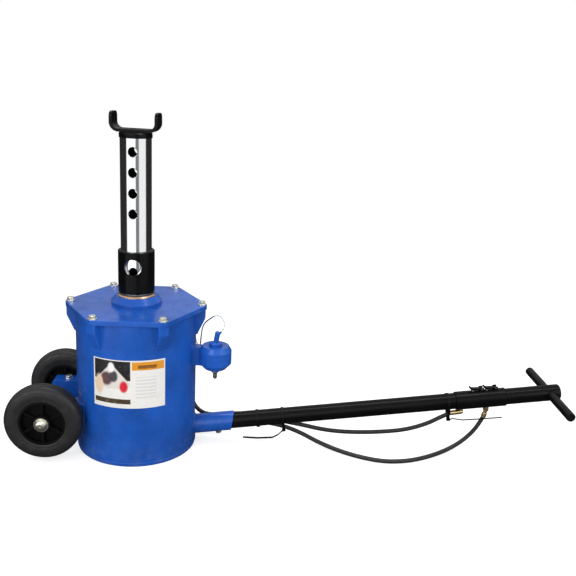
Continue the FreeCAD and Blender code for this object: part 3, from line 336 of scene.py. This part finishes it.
def enamel(name, colour, worn_colour, roughness, coat, gloss, dust):
    """Sprayed enamel: orange peel, uneven gloss, thin dust low down and wear on the edges."""
    made = new_material(name, colour, roughness)
    tree = made.node_tree
    dull = tuple(DULL_PAINT * c for c in colour)
    shade = mix_colours(tree, clouds(tree, per_metre=9.0, start=0.35, full=0.7), colour, dull)
    worn = maths(tree, "MULTIPLY", edge_mask(tree, PAINT_WEAR_R), PAINT_WEAR)
    shade = mix_colours(tree, worn, shade, worn_colour)
    height = part_axes(tree)[2]
    low_down = smooth_step(tree, height, 0.0, DUST_HEIGHT, dust, 0.0)
    dusty = maths(tree, "MULTIPLY", low_down, clouds(tree, per_metre=45.0, start=0.35, full=0.75))
    shade = mix_colours(tree, dusty, shade, DUST)
    set_shader(made, "Base Color", shade)
    smudges = clouds(tree, per_metre=26.0, start=0.3, full=0.8, least=roughness - 0.06,
                     most=roughness + 0.14, detail=6.0)
    set_shader(made, "Roughness", maths(tree, "ADD", smudges, maths(tree, "MULTIPLY", dusty, DUST_ROUGHENS)))
    set_shader(made, "Specular IOR Level", gloss)
    set_shader(made, "Coat Weight", coat)
    set_shader(made, "Coat Roughness", COAT_ROUGHNESS)
    fine_peel = noise(tree, 260.0, detail=1.0)
    broad_peel = maths(tree, "MULTIPLY", noise(tree, 40.0, detail=2.0), BROAD_PEEL)
    peel = maths(tree, "ADD", fine_peel, broad_peel)
    set_shader(made, "Normal", bump(tree, peel, PEEL_DEPTH, rounded_edges(tree, PAINT_EDGE_R), strength=0.35))
    return made


def metal(name, colour, roughness, lines=(1.0, 1.0, 1.0), grain=900.0, depth=0.00004, grime=0.25,
          edge=0.0006):
    """Bare or plated metal with tool marks along one direction and grime in patches."""
    made = new_material(name, colour, roughness, 1.0)
    tree = made.node_tree
    dark = tuple(GRIMY_METAL * c for c in colour)
    patches = clouds(tree, per_metre=55.0, start=0.48, full=0.78, most=grime, detail=6.0)
    set_shader(made, "Base Color", mix_colours(tree, patches, colour, dark))
    marks = noise(tree, grain, detail=3.0, roughness=0.6, stretch=lines)
    uneven = clouds(tree, per_metre=30.0, start=0.3, full=0.8, least=roughness * 0.8,
                    most=roughness * 1.5 + 0.03, detail=5.0)
    grimy = maths(tree, "MULTIPLY", patches, GRIME_ROUGHENS)
    set_shader(made, "Roughness", maths(tree, "ADD", uneven, grimy))
    set_shader(made, "Normal", bump(tree, marks, depth, rounded_edges(tree, edge), strength=0.6))
    return made


def chrome_tube(name):
    """Hard chrome outside with faint polishing lines; the bore and the holes are bare steel painted near
    black as shade.
    """
    made = metal(name, CHROME, 0.07, POLISHED, grain=60.0, depth=0.00001, grime=0.10, edge=0.0008)
    tree = made.node_tree
    x, y, z = part_axes(tree)
    across = distance(tree, x, y)
    # Painted shade: the bore and the holes' walls, inside the outer skin, turn near-black steel.
    inside = smooth_step(tree, across, TUBE_R - TUBE_WALL_FROM, TUBE_R - TUBE_WALL_TO, 1.0, 0.0)
    shader = tree.nodes["Principled BSDF"]
    outer = shader.inputs["Base Color"].links[0].from_socket
    set_shader(made, "Base Color", mix_colours(tree, inside, outer, BORE_STEEL_SHADE))
    outer = shader.inputs["Roughness"].links[0].from_socket
    set_shader(made, "Roughness", maths(tree, "ADD", outer, maths(tree, "MULTIPLY", inside, BORE_ROUGHENS)))
    return made


def rubber(name, colour, roughness):
    """Moulded rubber: fine grain, and dust that settles in patches."""
    made = new_material(name, colour, roughness)
    tree = made.node_tree
    patches = clouds(tree, per_metre=40.0, start=0.42, full=0.8, most=0.18, detail=7.0)
    set_shader(made, "Base Color", mix_colours(tree, patches, colour, RUBBER_DUST))
    uneven = clouds(tree, per_metre=120.0, start=0.3, full=0.7, least=roughness - 0.08,
                    most=roughness + 0.1)
    set_shader(made, "Roughness", uneven)
    grain = noise(tree, 700.0, detail=3.0)
    set_shader(made, "Normal", bump(tree, grain, RUBBER_GRAIN_DEPTH, rounded_edges(tree, RUBBER_EDGE_R),
                                    strength=0.6))
    set_shader(made, "Specular IOR Level", RUBBER_GLOSS)
    return made


def ribbed_cord(name, colour, roughness, metallic, turns, rings, depth):
    """A cord whose cover winds round it: fine ridges that cross at a slant."""
    made = new_material(name, colour, roughness, metallic)
    tree = made.node_tree
    split = tree.nodes.new("ShaderNodeSeparateXYZ")
    tree.links.new(tree.nodes.new("ShaderNodeTexCoord").outputs["UV"], split.inputs[0])
    along = maths(tree, "MULTIPLY", split.outputs[0], rings * 2 * math.pi)
    round_it = maths(tree, "MULTIPLY", split.outputs[1], turns * 2 * math.pi)
    ridge = maths(tree, "SINE", maths(tree, "ADD", along, round_it))
    counter = maths(tree, "SINE", maths(tree, "SUBTRACT", along, round_it))
    weave = maths(tree, "MULTIPLY", ridge, counter)
    light = paler(colour, times=1.8, plus=0.02)
    dusty = clouds(tree, per_metre=90.0, start=0.5, full=0.85, most=0.5, detail=6.0)
    set_shader(made, "Base Color", mix_colours(tree, dusty, colour, light))
    uneven = clouds(tree, per_metre=90.0, start=0.3, full=0.8, least=roughness - 0.1,
                    most=roughness + 0.12, detail=6.0)
    set_shader(made, "Roughness", uneven)
    set_shader(made, "Normal", bump(tree, weave, depth, strength=0.7))
    return made


def plastic(name, colour, roughness):
    """Moulded plastic: pale scuffs and a fine grain."""
    made = new_material(name, colour, roughness)
    tree = made.node_tree
    pale = paler(colour, times=2.2, plus=0.01)
    scuffs = clouds(tree, per_metre=130.0, start=0.56, full=0.8, most=0.35, detail=6.0)
    set_shader(made, "Base Color", mix_colours(tree, scuffs, colour, pale))
    uneven = clouds(tree, per_metre=60.0, start=0.3, full=0.8, least=roughness - 0.1,
                    most=roughness + 0.1)
    set_shader(made, "Roughness", uneven)
    set_shader(made, "Specular IOR Level", PLASTIC_GLOSS)
    grain = noise(tree, 900.0, detail=2.0)
    set_shader(made, "Normal", bump(tree, grain, PLASTIC_GRAIN_DEPTH, rounded_edges(tree, PLASTIC_EDGE_R),
                                    strength=0.5))
    return made


def between(tree, value, low, high, soft=0.004):
    """1 where value lies between low and high, with soft ends."""
    return maths(tree, "MULTIPLY", smooth_step(tree, value, low - soft, low + soft),
                 smooth_step(tree, value, high - soft, high + soft, 1.0, 0.0))


def box_mask(tree, across, up, left, right, bottom, top):
    columns = between(tree, across, left, right)
    return maths(tree, "MULTIPLY", columns, between(tree, up, bottom, top))


def spot_mask(tree, across, up, centre, radii):
    """1 inside an ellipse."""
    du = maths(tree, "DIVIDE", maths(tree, "SUBTRACT", across, centre[0]), radii[0])
    dv = maths(tree, "DIVIDE", maths(tree, "SUBTRACT", up, centre[1]), radii[1])
    return smooth_step(tree, distance(tree, du, dv), 1.0 - SPOT_SOFT, 1.0 + SPOT_SOFT, 1.0, 0.0)


# The label's print, in shares of its width and height from its lower left corner.
INK = (0.012, 0.012, 0.014)
PALE_GREY = (0.70, 0.69, 0.67)
ORANGE = (0.62, 0.25, 0.012)
BAR_GREY = (0.38, 0.39, 0.42)
PAPER_SCUFF = (0.60, 0.58, 0.54)
SPOT_SOFT = 0.25
RHOMBUS_MIDDLE = (0.27, 0.50)
RHOMBUS_SLOPE = 0.62
RHOMBUS_EDGE = (0.255, 0.275)
RHOMBUS_COLOUR = (0.62, 0.58, 0.54)
# Boxes: left, right, bottom, top and colour.
PICTURE_TOP = (0.02, 0.53, 0.58, 0.98, INK)
PICTURE_GROUND = (0.02, 0.53, 0.20, 0.40, PALE_GREY)
PICTURE_FOOT = (0.02, 0.53, 0.09, 0.19, (0.055, 0.035, 0.018))
HEADER = (0.55, 0.985, 0.80, 0.97, ORANGE)
HEADER_MARK = (0.63, 0.88, 0.835, 0.905, (0.22, 0.08, 0.008))
BARS_PANEL = (0.60, 0.88, 0.20, 0.66)
BARS = 14.0
BARS_STRENGTH = 0.4
# Spots in the picture: centre, radii and colour.
SPOTS = (
    ((0.20, 0.60), (0.085, 0.14), (0.10, 0.05, 0.055)),
    ((0.30, 0.66), (0.06, 0.12), (0.05, 0.05, 0.06)),
    ((0.27, 0.84), (0.045, 0.10), (0.75, 0.75, 0.75)),
    ((0.09, 0.46), (0.06, 0.20), (0.66, 0.50, 0.36)),
    ((0.44, 0.45), (0.055, 0.12), (0.58, 0.012, 0.03)),
)


def rhombus_mask(tree, across, up):
    aside = maths(tree, "ABSOLUTE", maths(tree, "SUBTRACT", across, RHOMBUS_MIDDLE[0]))
    above = maths(tree, "ABSOLUTE", maths(tree, "SUBTRACT", up, RHOMBUS_MIDDLE[1]))
    slope = maths(tree, "ADD", aside, maths(tree, "MULTIPLY", above, RHOMBUS_SLOPE))
    return smooth_step(tree, slope, *RHOMBUS_EDGE, 1.0, 0.0)


def label_print(tree, across, up):
    """The print's layers from the bottom up, each as a mask and its ink."""
    layers = [(box_mask(tree, across, up, *PICTURE_TOP[:4]), PICTURE_TOP[4])]
    layers.append((rhombus_mask(tree, across, up), RHOMBUS_COLOUR))
    layers.append((box_mask(tree, across, up, *PICTURE_GROUND[:4]), PICTURE_GROUND[4]))
    for centre, radii, ink in SPOTS:
        layers.append((spot_mask(tree, across, up, centre, radii), ink))
    for *box, ink in (PICTURE_FOOT, HEADER, HEADER_MARK):
        layers.append((box_mask(tree, across, up, *box), ink))
    wave = maths(tree, "SINE", maths(tree, "MULTIPLY", up, 2 * math.pi * BARS))
    stripes = smooth_step(tree, wave, 0.0, 0.5, 0.0, BARS_STRENGTH)
    layers.append((maths(tree, "MULTIPLY", box_mask(tree, across, up, *BARS_PANEL), stripes), BAR_GREY))
    return layers


def label_film(name):
    """A printed label: a picture at the left, and an orange band over plain grey bars at the right."""
    made = new_material(name, PAPER, 0.32)
    tree = made.node_tree
    x, y, z = part_axes(tree)
    turn = maths(tree, "ARCTAN2", y, x)
    across = maths(tree, "DIVIDE", maths(tree, "SUBTRACT", turn, LABEL_FROM), LABEL_TO - LABEL_FROM)
    up = maths(tree, "DIVIDE", maths(tree, "SUBTRACT", z, LABEL_LOW), LABEL_HIGH - LABEL_LOW)
    colour = PAPER
    for mask, ink in label_print(tree, across, up):
        colour = mix_colours(tree, mask, colour, ink)
    scuffs = clouds(tree, per_metre=95.0, start=0.60, full=0.80, most=0.35, detail=7.0)
    set_shader(made, "Base Color", mix_colours(tree, scuffs, colour, PAPER_SCUFF))
    set_shader(made, "Roughness", clouds(tree, per_metre=45.0, start=0.3, full=0.7, least=0.24, most=0.42))
    set_shader(made, "Normal", bump(tree, noise(tree, 150.0), PAPER_WAVE_DEPTH, strength=0.4))
    return made


def make_materials():
    """One material for each of the record's slots."""
    return {
        "blue_paint": enamel("blue_paint", BLUE, BLUE_WORN, roughness=0.22, coat=0.10, gloss=0.22, dust=0.10),
        "black_paint": enamel("black_paint", BLACK, BLACK_WORN, roughness=0.30, coat=0.06, gloss=0.07,
                              dust=0.08),
        "chrome": chrome_tube("chrome"),
        "zinc": metal("zinc", ZINC, roughness=0.30),
        "steel": metal("steel", STEEL, 0.30, MADE_ROUND, TURNED_GRAIN),
        "bronze": metal("bronze", BRONZE, 0.30, MADE_ROUND, TURNED_GRAIN),
        "brass": metal("brass", BRASS, roughness=0.27),
        "aluminium": metal("aluminium", ALUMINIUM, 0.34, MADE_ROUND, TURNED_GRAIN),
        "black_rubber": ribbed_cord("black_rubber", HOSE_BLACK, roughness=0.45, metallic=0.0, turns=8.0,
                                    rings=180.0, depth=0.00035),
        "tyre_rubber": rubber("tyre_rubber", TYRE_BLACK, roughness=0.46),
        "seal_rubber": rubber("seal_rubber", SEAL_BLACK, roughness=0.5),
        "black_plastic": plastic("black_plastic", BLACK, roughness=0.42),
        "wire_rope": ribbed_cord("wire_rope", WIRE, roughness=0.30, metallic=1.0, turns=3.0, rings=120.0,
                                 depth=0.0003),
        "label_film": label_film("label_film"),
    }


def dress(piece, slot):
    """Gives a piece the material of that slot of the record."""
    piece.data.materials.clear()
    piece.data.materials.append(materials[slot])


# ---------------------------------------------------------------- mesh helpers
def link(name, data):
    made = bpy.data.objects.new(name, data)
    bpy.context.scene.collection.objects.link(made)
    return made


def grid_mesh(name, rings, closed_loop):
    """A surface through closed rings of points. closed_loop joins the last ring to the first."""
    count = len(rings[0])
    points = [p for ring in rings for p in ring]
    faces = []
    spans = len(rings) if closed_loop else len(rings) - 1
    for i in range(spans):
        here = i * count
        there = ((i + 1) % len(rings)) * count
        for j in range(count):
            k = (j + 1) % count
            faces.append((here + j, here + k, there + k, there + j))
    if not closed_loop:
        faces.append(tuple(range(count - 1, -1, -1)))
        faces.append(tuple(range(len(rings) * count - count, len(rings) * count)))
    mesh = bpy.data.meshes.new(name)
    mesh.from_pydata(points, [], faces)
    mesh.update()
    tidy = bmesh.new()
    tidy.from_mesh(mesh)
    bmesh.ops.recalc_face_normals(tidy, faces=tidy.faces)
    tidy.to_mesh(mesh)
    tidy.free()
    return mesh


def smooth(mesh, degrees):
    """Shades a mesh smooth except across edges sharper than that."""
    mesh.shade_smooth()
    mesh.set_sharp_from_angle(angle=math.radians(degrees))


def tube_rings(path, radius_at, sides):
    """Rings of points round a path. radius_at gives the radius at a distance along it."""
    rings = []
    travelled = 0.0
    side = None
    for i, here in enumerate(path):
        ahead = path[min(i + 1, len(path) - 1)]
        behind = path[max(i - 1, 0)]
        along = (ahead - behind).normalized()
        if side is None:
            side = along.orthogonal().normalized()
        side = (side - along * side.dot(along)).normalized()
        other = along.cross(side)
        if i:
            travelled += (here - path[i - 1]).length
        radius = radius_at(travelled)
        turn = 2 * math.pi / sides
        rings.append([here + radius * (math.cos(j * turn) * side + math.sin(j * turn) * other)
                      for j in range(sides)])
    return rings


def add_tube_coordinates(mesh, rows, sides):
    """U along the tube and V round it, for the cord materials."""
    layer = mesh.uv_layers.new(name="UVMap")
    for face in mesh.polygons:
        numbers = [mesh.loops[i].vertex_index for i in face.loop_indices]
        wraps = len(numbers) == 4 and max(n % sides for n in numbers) - min(n % sides for n in numbers) > 1
        for corner, number in zip(face.loop_indices, numbers):
            step = number % sides
            if wraps and step == 0:
                step = sides
            layer.data[corner].uv = (number // sides / (rows - 1), step / sides)


# ---------------------------------------------------------------- cords
def nurbs_curve(name, route, radius):
    """A curve with the route's points as its control points, so that it turns inside each of them."""
    data = bpy.data.curves.new(name, "CURVE")
    data.dimensions = "3D"
    data.resolution_u = 16
    data.bevel_depth = radius
    data.bevel_resolution = 6
    data.use_fill_caps = True
    line = data.splines.new("NURBS")
    line.points.add(len(route) - 1)
    for point, place in zip(line.points, route):
        point.co = (*place, 1.0)
    line.order_u = 3
    line.use_endpoint_u = True
    return link(name, data)


def make_hose(name, route):
    hose = nurbs_curve(name + "_cover", route, HOSE_R)
    dress(hose, "black_rubber")
    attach(hose, "jack_frame")
    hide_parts(name)


def curve_points(route):
    """Points along the NURBS curve through a route, read from the curve itself."""
    curve = nurbs_curve("route", route, 0.0)
    bpy.context.view_layer.update()
    line = bpy.data.meshes.new_from_object(curve.evaluated_get(bpy.context.evaluated_depsgraph_get()))
    points = [v.co.copy() for v in line.vertices]
    bpy.data.objects.remove(curve)
    bpy.data.meshes.remove(line)
    return points


def make_tether():
    """The lock pin's wire: one still tube along its route; it is not tied to the pin or to any body."""
    points = curve_points(TETHER_ROUTE)
    mesh = grid_mesh("tether_wire", tube_rings(points, lambda travelled: TETHER_R, TETHER_SIDES), False)
    add_tube_coordinates(mesh, len(points), TETHER_SIDES)
    smooth(mesh, 60)
    tether = link("tether_wire", mesh)
    dress(tether, "wire_rope")
    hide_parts("tether")
    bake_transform(tether)


# ---------------------------------------------------------------- tyres
def make_tyre(side, y):
    """A rounded tyre with a moulded ring on each sidewall and three grooves round its tread."""
    mirrored = [(r, -off) for r, off in reversed(TYRE_SECTION[:-1])]
    section = list(TYRE_SECTION) + mirrored
    rings = []
    for i in range(TYRE_STEPS):
        angle = 2 * math.pi * i / TYRE_STEPS
        rings.append([(AXLE_X + r * math.cos(angle), y + off, AXLE_Z + r * math.sin(angle))
                      for r, off in section])
    mesh = grid_mesh("tyre_" + side + "_tread", rings, True)
    smooth(mesh, 40)
    tyre = link("tyre_" + side + "_tread", mesh)
    dress(tyre, "tyre_rubber")
    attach(tyre, side + "_wheel")
    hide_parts("tyre_" + side)


# ---------------------------------------------------------------- welds
def resampled(points, pitch):
    """The same path with its points a fixed distance apart."""
    path = [Vector(p) for p in points]
    made = [path[0]]
    left = pitch
    for a, b in zip(path, path[1:]):
        run = (b - a).length
        done = 0.0
        while run - done >= left:
            done += left
            made.append(a.lerp(b, done / run))
            left = pitch
        left -= run - done
    return made


def weld_bead(name, points, radius=WELD_R):
    """A run of weld: a tube half sunk in the joint, rippled like overlapping drops."""
    path = resampled(points, WELD_PITCH / RINGS_PER_DROP)

    def ripple(travelled):
        phase = travelled / WELD_PITCH % 1.0
        return radius * (DROP_ROOT + DROP_RISE * math.sqrt(max(0.0, 1 - (2 * phase - 1) ** 2)))

    mesh = grid_mesh(name, tube_rings(path, ripple, WELD_SIDES), False)
    smooth(mesh, 70)
    bead = link(name, mesh)
    dress(bead, "blue_paint")
    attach(bead, "jack_frame")


def on_wall(degrees, height):
    angle = math.radians(degrees)
    return (DRUM_R * math.cos(angle), DRUM_R * math.sin(angle), height)


def lug_weld(degrees):
    """Down one side of a lug, under it and up its other side."""
    half = math.degrees(math.asin(LUG_HALF_WIDTH / DRUM_R))
    top = LID_BOTTOM - LUG_WELD_DROP
    run = [on_wall(degrees - half, top), on_wall(degrees - half, LUG_BOTTOM)]
    for k in range(1, LUG_WELD_STEPS + 1):
        run.append(on_wall(degrees - half + 2 * half * k / LUG_WELD_STEPS, LUG_BOTTOM))
    run.append(on_wall(degrees + half, top))
    return run


def arm_weld(sign):
    """Round the end of an axle arm that meets the wall."""
    run = []
    for y in (ARM_INNER_Y, ARM_OUTER_Y):
        x = -math.sqrt(DRUM_R ** 2 - y ** 2)
        column = [(x, sign * y, ARM_TOP), (x, sign * y, ARM_BOTTOM)]
        run += column if y == ARM_OUTER_Y else column[::-1]
    return run + [run[0]]


def socket_weld():
    """Round the handle's socket, where its slanting tube meets the wall."""
    radius = SOCKET_R + SOCKET_WELD_OUT
    run = []
    for k in range(SOCKET_WELD_STEPS + 1):
        angle = 2 * math.pi * k / SOCKET_WELD_STEPS
        y = radius * math.cos(angle)
        x = math.sqrt(DRUM_R ** 2 - y ** 2)
        run.append((x, y, HANDLE_Z + x * math.tan(HANDLE_RISE) + radius * math.sin(angle)))
    return run


def holder_weld():
    """Round the foot of the lock pin holder's arm."""
    turn = math.degrees(HOLDER_TURN)
    wide = math.degrees(math.asin(HOLDER_ARM_HALF / DRUM_R))
    return [
        on_wall(turn - wide, HOLDER_ARM_BOTTOM), on_wall(turn - wide, HOLDER_ARM_TOP),
        on_wall(turn, HOLDER_ARM_TOP), on_wall(turn + wide, HOLDER_ARM_TOP),
        on_wall(turn + wide, HOLDER_ARM_BOTTOM),
        on_wall(turn, HOLDER_ARM_BOTTOM), on_wall(turn - wide, HOLDER_ARM_BOTTOM),
    ]


def make_welds():
    weld_bead("weld_base", [on_wall(a, DRUM_BASE_T) for a in range(0, 361, BASE_WELD_STEP)], THIN_WELD_R)
    for i in range(LUG_COUNT):
        weld_bead("weld_lug_%d" % i, lug_weld(i * 360.0 / LUG_COUNT), THIN_WELD_R)
    for side, sign in (("near", -1), ("far", 1)):
        weld_bead("weld_arm_" + side, arm_weld(sign))
    weld_bead("weld_socket", socket_weld())
    weld_bead("weld_holder", holder_weld(), HOLDER_WELD_R)


# ---------------------------------------------------------------- studio
FLOOR_R = 4.0
FLOOR_CLEAR = 1.1
FLOOR_FADE = 2.0
FLOOR_GLOW = 0.70          # the light that keeps the floor near white to the camera alone
WHITE = (0.96, 0.96, 0.96)
FLOOR_GREY = (0.50, 0.50, 0.50)
FLOOR_MIRRORED = (0.05, 0.05, 0.05)
FLOOR_MIDDLE = (0.4, 0.0, 0.0)

# What reflections see round the set: from and to in degrees round from the camera's side, and strength.
LEFT_BOX = (-62.0, 6.0, 1.5)
DARK_GAP = (6.0, 30.0, 0.22)
RIGHT_BOX = (30.0, 84.0, 1.1)
BOX_SOFT = 4.0
BOX_TOP = (0.45, 0.70)         # the boxes fade out between these heights of the view's direction
CEILING_FROM = 0.0
CEILING_TO = 0.4
CEILING_LIGHT = 0.75
DIM_LIGHT = 0.03

LIGHTS_AIM = (0.3, 0.0, 0.3)
# Area lights: place, size and watts.
LIGHTS = {
    "overhead": ((0.4, 0.2, 3.0), (3.2, 0.5), 42.0),
    "key": ((-1.3, -2.6, 1.9), (1.4, 1.4), 24.0),
    "fill": ((2.4, -2.2, 1.5), (1.4, 1.4), 15.0),
}


def make_floor():
    """A pale floor that fades into the white surroundings, so that it has no edge in view."""
    mesh = bpy.data.meshes.new("floor")
    disc = bmesh.new()
    bmesh.ops.create_circle(disc, cap_ends=True, segments=96, radius=FLOOR_R)
    disc.to_mesh(mesh)
    disc.free()
    floor = link("floor", mesh)
    floor.location = FLOOR_MIDDLE
    made = new_material("studio_floor", FLOOR_GREY, 0.7)
    tree = made.node_tree
    mirrored = tree.nodes.new("ShaderNodeLightPath").outputs["Is Glossy Ray"]
    set_shader(made, "Base Color", mix_colours(tree, mirrored, FLOOR_GREY, FLOOR_MIRRORED))
    x, y, z = part_axes(tree)
    set_shader(made, "Alpha", smooth_step(tree, distance(tree, x, y), FLOOR_CLEAR, FLOOR_FADE, 1.0, 0.0))
    set_shader(made, "Specular IOR Level", 0.15)
    set_shader(made, "Emission Color", WHITE)
    seen = tree.nodes.new("ShaderNodeLightPath").outputs["Is Camera Ray"]
    set_shader(made, "Emission Strength", maths(tree, "MULTIPLY", seen, FLOOR_GLOW))
    floor.data.materials.append(made)


def make_world():
    """White past the set; in reflections, two tall soft boxes in front and a bright ceiling."""
    world = bpy.data.worlds.new("studio")
    bpy.context.scene.world = world
    world.use_nodes = True
    tree = world.node_tree
    split = tree.nodes.new("ShaderNodeSeparateXYZ")
    tree.links.new(tree.nodes.new("ShaderNodeTexCoord").outputs["Generated"], split.inputs[0])
    x, y, z = split.outputs
    turn = maths(tree, "MULTIPLY", maths(tree, "ARCTAN2", x, maths(tree, "MULTIPLY", y, -1.0)), 180 / math.pi)
    boxes = 0.0
    for low, high, strength in (LEFT_BOX, DARK_GAP, RIGHT_BOX):
        lit = maths(tree, "MULTIPLY", between(tree, turn, low, high, BOX_SOFT), strength)
        boxes = maths(tree, "ADD", boxes, lit)
    not_high = smooth_step(tree, z, *BOX_TOP, 1.0, 0.0)
    ceiling = smooth_step(tree, z, CEILING_FROM, CEILING_TO, 0.0, CEILING_LIGHT)
    light = maths(tree, "ADD", maths(tree, "MULTIPLY", boxes, not_high),
                  maths(tree, "ADD", ceiling, DIM_LIGHT))
    seen = tree.nodes.new("ShaderNodeLightPath").outputs["Is Camera Ray"]
    strength = maths(tree, "ADD", maths(tree, "MULTIPLY", seen, 1.0),
                     maths(tree, "MULTIPLY", light, maths(tree, "SUBTRACT", 1.0, seen)))
    back = tree.nodes["Background"]
    back.inputs["Color"].default_value = (1.0, 1.0, 1.0, 1.0)
    tree.links.new(strength, back.inputs["Strength"])


def area_light(name, place, size, power):
    data = bpy.data.lights.new(name, "AREA")
    data.shape = "RECTANGLE"
    data.size = size[0]
    data.size_y = size[1]
    data.energy = power
    made = link(name, data)
    made.location = place
    made.rotation_mode = "QUATERNION"
    made.rotation_quaternion = (Vector(LIGHTS_AIM) - Vector(place)).to_track_quat("-Z", "Y")


def make_lights():
    for name, (place, size, power) in LIGHTS.items():
        area_light(name, place, size, power)


def make_camera():
    data = bpy.data.cameras.new("camera")
    data.sensor_width = SENSOR_WIDTH
    data.lens = CAMERA_LENS
    data.clip_end = CAMERA_REACH
    camera = link("camera", data)
    level = math.cos(CAMERA_PITCH)
    ahead = Vector((math.sin(CAMERA_YAW) * level, math.cos(CAMERA_YAW) * level, math.sin(CAMERA_PITCH)))
    right = Vector((math.cos(CAMERA_YAW), -math.sin(CAMERA_YAW), 0.0))
    up = right.cross(ahead)
    rolled_right = math.cos(CAMERA_ROLL) * right + math.sin(CAMERA_ROLL) * up
    rolled_up = math.cos(CAMERA_ROLL) * up - math.sin(CAMERA_ROLL) * right
    turn = Matrix((rolled_right, rolled_up, -ahead)).transposed()
    camera.matrix_world = Matrix.Translation(CAMERA_PLACE) @ turn.to_4x4()
    bpy.context.scene.camera = camera


# ---------------------------------------------------------------- the scene
materials = make_materials()
for entry in frame["record"]["subparts"]:
    dress(frame["nodes"][entry["node"]], entry["material_slot"])
make_hose("lift_hose", LIFT_HOSE_ROUTE)
make_hose("return_hose", RETURN_HOSE_ROUTE)
make_tether()
for wheel_side, wheel_y in (("near", -WHEEL_Y), ("far", WHEEL_Y)):
    make_tyre(wheel_side, wheel_y)
make_welds()
make_floor()
make_world()
make_lights()
make_camera()
bpy.context.scene.view_settings.view_transform = "Standard"
